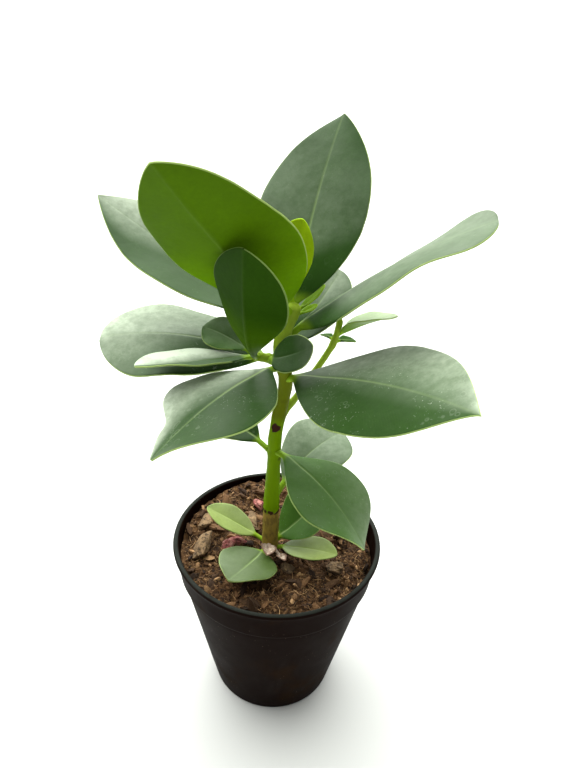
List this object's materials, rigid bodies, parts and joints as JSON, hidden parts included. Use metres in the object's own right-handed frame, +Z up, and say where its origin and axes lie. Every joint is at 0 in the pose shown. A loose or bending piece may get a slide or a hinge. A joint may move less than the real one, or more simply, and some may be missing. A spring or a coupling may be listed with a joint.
{
  "type": "potted clusia",
  "caption": "Young clusia with thick paddle-shaped leaves on a green stem, growing in a round black nursery pot filled with bark soil.",
  "frame": {"origin": "middle of the pot's flat underside, on the pot's axis", "axes": "+Z up along the pot's axis and the stem, +X to the plant's right seen from its front, -Y towards the front"},
  "size_m": [0.1609, 0.127, 0.2875],
  "materials": {
    "pot": "thin black nursery plastic, satin, with dusty smudges and a worn rim",
    "soil": "loose dark bark and peat, fully rough",
    "stem": "smooth green stem, brown and woody at the foot",
    "shoot": "smooth young green shoot",
    "leaf": "thick leathery leaf, satin, with a pale margin and midrib",
    "young_leaf": "young pale green leaf, satin",
    "stone": "dull pinkish pebble",
    "bark": "dull brown bark chip",
    "husk": "dry pale papery scale"
  },
  "bodies": {
    "root": {"pot": "pot", "soil": "soil", "main_stem": "stem", "left_shoot": "shoot", "right_twig": "shoot", "leaf_crown_left": "leaf", "leaf_crown_back": "leaf", "leaf_heart": "young_leaf", "leaf_heart_right": "young_leaf", "leaf_heart_bud": "young_leaf", "leaf_long_right": "leaf", "leaf_far_left": "leaf", "leaf_back_right": "leaf", "leaf_mid_left": "leaf", "leaf_front_left": "leaf", "leaf_front_right": "leaf", "leaf_low_right": "leaf", "leaf_low_left": "leaf", "leaf_low_back": "leaf", "leaf_base_back": "leaf", "leaf_base_left": "young_leaf", "leaf_base_front": "leaf", "leaf_base_right": "young_leaf", "shoot_leaf_front": "leaf", "shoot_leaf_round": "leaf", "shoot_leaf_left": "leaf", "shoot_leaf_back": "leaf", "twig_leaf_folded": "young_leaf", "twig_leaf_right": "leaf", "twig_leaf_left": "leaf", "stone_pink_left": "stone", "stone_pink_back": "stone", "bark_left_front": "bark", "bark_left_back": "bark", "bark_middle": "bark", "bark_front": "bark", "bark_right": "bark", "husk_left": "husk", "husk_front": "husk"}
  },
  "joints": []
}
